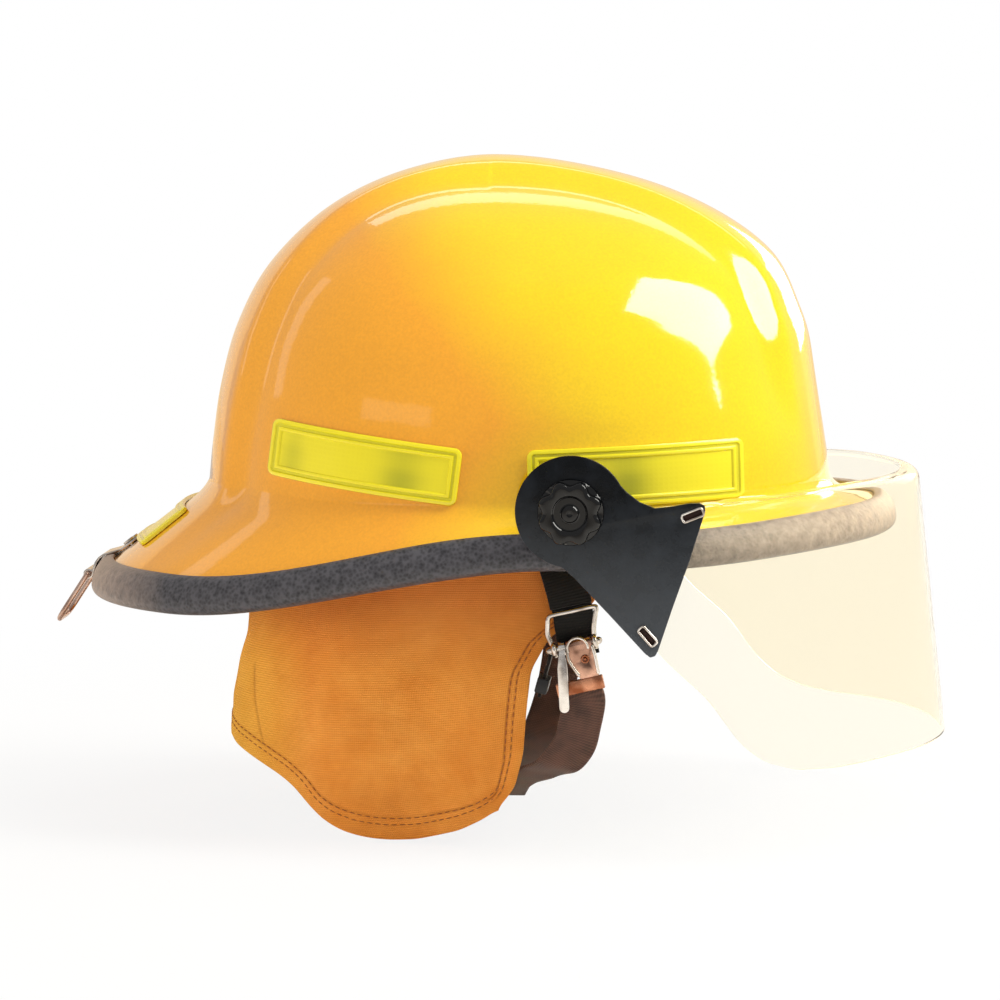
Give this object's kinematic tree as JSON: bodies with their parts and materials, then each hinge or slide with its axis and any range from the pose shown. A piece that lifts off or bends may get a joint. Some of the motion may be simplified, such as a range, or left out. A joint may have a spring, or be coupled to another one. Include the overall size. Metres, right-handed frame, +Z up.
{
  "type": "fire helmet",
  "caption": "Fire helmet with a swept rear brim, clear swing-up face shield, ratchet suspension, ear and neck protector and buckled chin strap.",
  "frame": {"origin": "Middle of the head opening, level with the lower edge of the headband", "axes": "+X to the front, +Z up towards the crown, -Y to the wearer's right"},
  "size_m": [0.3825, 0.2986, 0.2808],
  "materials": {
    "shell_yellow": "gloss moulded",
    "trim_rubber": "grained, semi-matt",
    "liner_foam": "closed-cell foam",
    "black_plastic": "moulded satin",
    "strap_webbing": "woven",
    "chin_webbing": "woven, ribbed edges",
    "pad_fabric": "brushed over foam",
    "protector_cloth": "plain woven, padded",
    "steel": "bright plated",
    "copper_bar": "copper toned, polished",
    "shield_clear": "clear, warm tint",
    "bracket_black": "satin",
    "knob_black": "gloss",
    "reflector_lime": "retroreflective, raised frame"
  },
  "bodies": {
    "helmet": {"outer_shell": "shell_yellow", "edge_trim": "trim_rubber", "impact_liner": "liner_foam", "suspension_ring": "black_plastic", "crown_strap_lengthwise": "strap_webbing", "crown_strap_right_front": "strap_webbing", "crown_strap_left_front": "strap_webbing", "crown_strap_keys": "black_plastic", "crown_pad": "pad_fabric", "headband": "black_plastic", "headband_hangers": "black_plastic", "brow_pad": "pad_fabric", "nape_pad": "pad_fabric", "ratchet_housing": "black_plastic", "ratchet_cover": "black_plastic", "ear_neck_protector": "protector_cloth", "protector_snaps": "steel", "chin_anchor_right": "steel", "chin_anchor_left": "steel", "hanger_tab": "steel", "hanger_rivets": "steel", "pivot_bolt_right": "steel", "pivot_bolt_left": "steel", "pivot_nut_right": "steel", "pivot_nut_left": "steel", "pivot_spacer_right": "bracket_black", "pivot_spacer_left": "bracket_black", "pivot_washer_right": "bracket_black", "pivot_washer_left": "bracket_black", "reflector_right_front": "reflector_lime", "reflector_right_rear": "reflector_lime", "reflector_left_front": "reflector_lime", "reflector_left_rear": "reflector_lime", "reflector_rear": "reflector_lime"},
    "visor": {"face_shield": "shield_clear", "bracket_right": "bracket_black", "bracket_left": "bracket_black", "bracket_clips_right": "steel", "bracket_clips_left": "steel"},
    "knob_right": {"pivot_knob_right": "knob_black"},
    "knob_left": {"pivot_knob_left": "knob_black"},
    "chin_strap": {"chin_tab_right": "steel", "chin_tab_left": "steel", "chin_strap_upper": "chin_webbing", "chin_strap_lower": "chin_webbing", "chin_strap_tail": "chin_webbing", "buckle_loop": "steel", "buckle_pin": "steel", "buckle_plate": "steel", "buckle_bar": "copper_bar"},
    "finger_lever": {"buckle_lever": "steel"},
    "slide_keeper": {"strap_slide": "black_plastic"},
    "hanging_ring": {"hanger_ring": "steel"},
    "ratchet": {"ratchet_knob": "black_plastic", "ratchet_pinion": "black_plastic"}
  },
  "joints": [
    {"name": "visor_pivot", "type": "hinge", "parent": "helmet", "child": "visor", "pos_m": [0.0308, 0, 0.0261], "axis": [0, -1, 0], "range_deg": [0, 70]},
    {"name": "right_knob_turn", "type": "hinge", "parent": "helmet", "child": "knob_right", "pos_m": [0.0308, -0.145, 0.0261], "axis": [0, -1, 0], "range_deg": [0, 180]},
    {"name": "left_knob_turn", "type": "hinge", "parent": "helmet", "child": "knob_left", "pos_m": [0.0308, 0.145, 0.0261], "axis": [0, 1, 0], "range_deg": [0, 180]},
    {"name": "chin_strap_swing", "type": "hinge", "parent": "helmet", "child": "chin_strap", "pos_m": [0.0165, 0, 0.03], "axis": [0, -1, 0], "range_deg": [0, 40]},
    {"name": "finger_lever_swing", "type": "hinge", "parent": "chin_strap", "child": "finger_lever", "pos_m": [0.03235, -0.106, -0.03144], "axis": [-0.9744, 0, -0.225], "range_deg": [0, 100]},
    {"name": "keeper_slide", "type": "slide", "parent": "chin_strap", "child": "slide_keeper", "axis": [0.2587, 0, 0.966], "range_m": [0, 0.008]},
    {"name": "hanging_ring_swing", "type": "hinge", "parent": "helmet", "child": "hanging_ring", "pos_m": [-0.18604, 0, -0.01511], "axis": [0, 1, 0], "range_deg": [-33, 120]},
    {"name": "ratchet_turn", "type": "hinge", "parent": "helmet", "child": "ratchet", "pos_m": [-0.1064, 0, 0.013], "axis": [-1, 0, 0], "continuous": true}
  ]
}
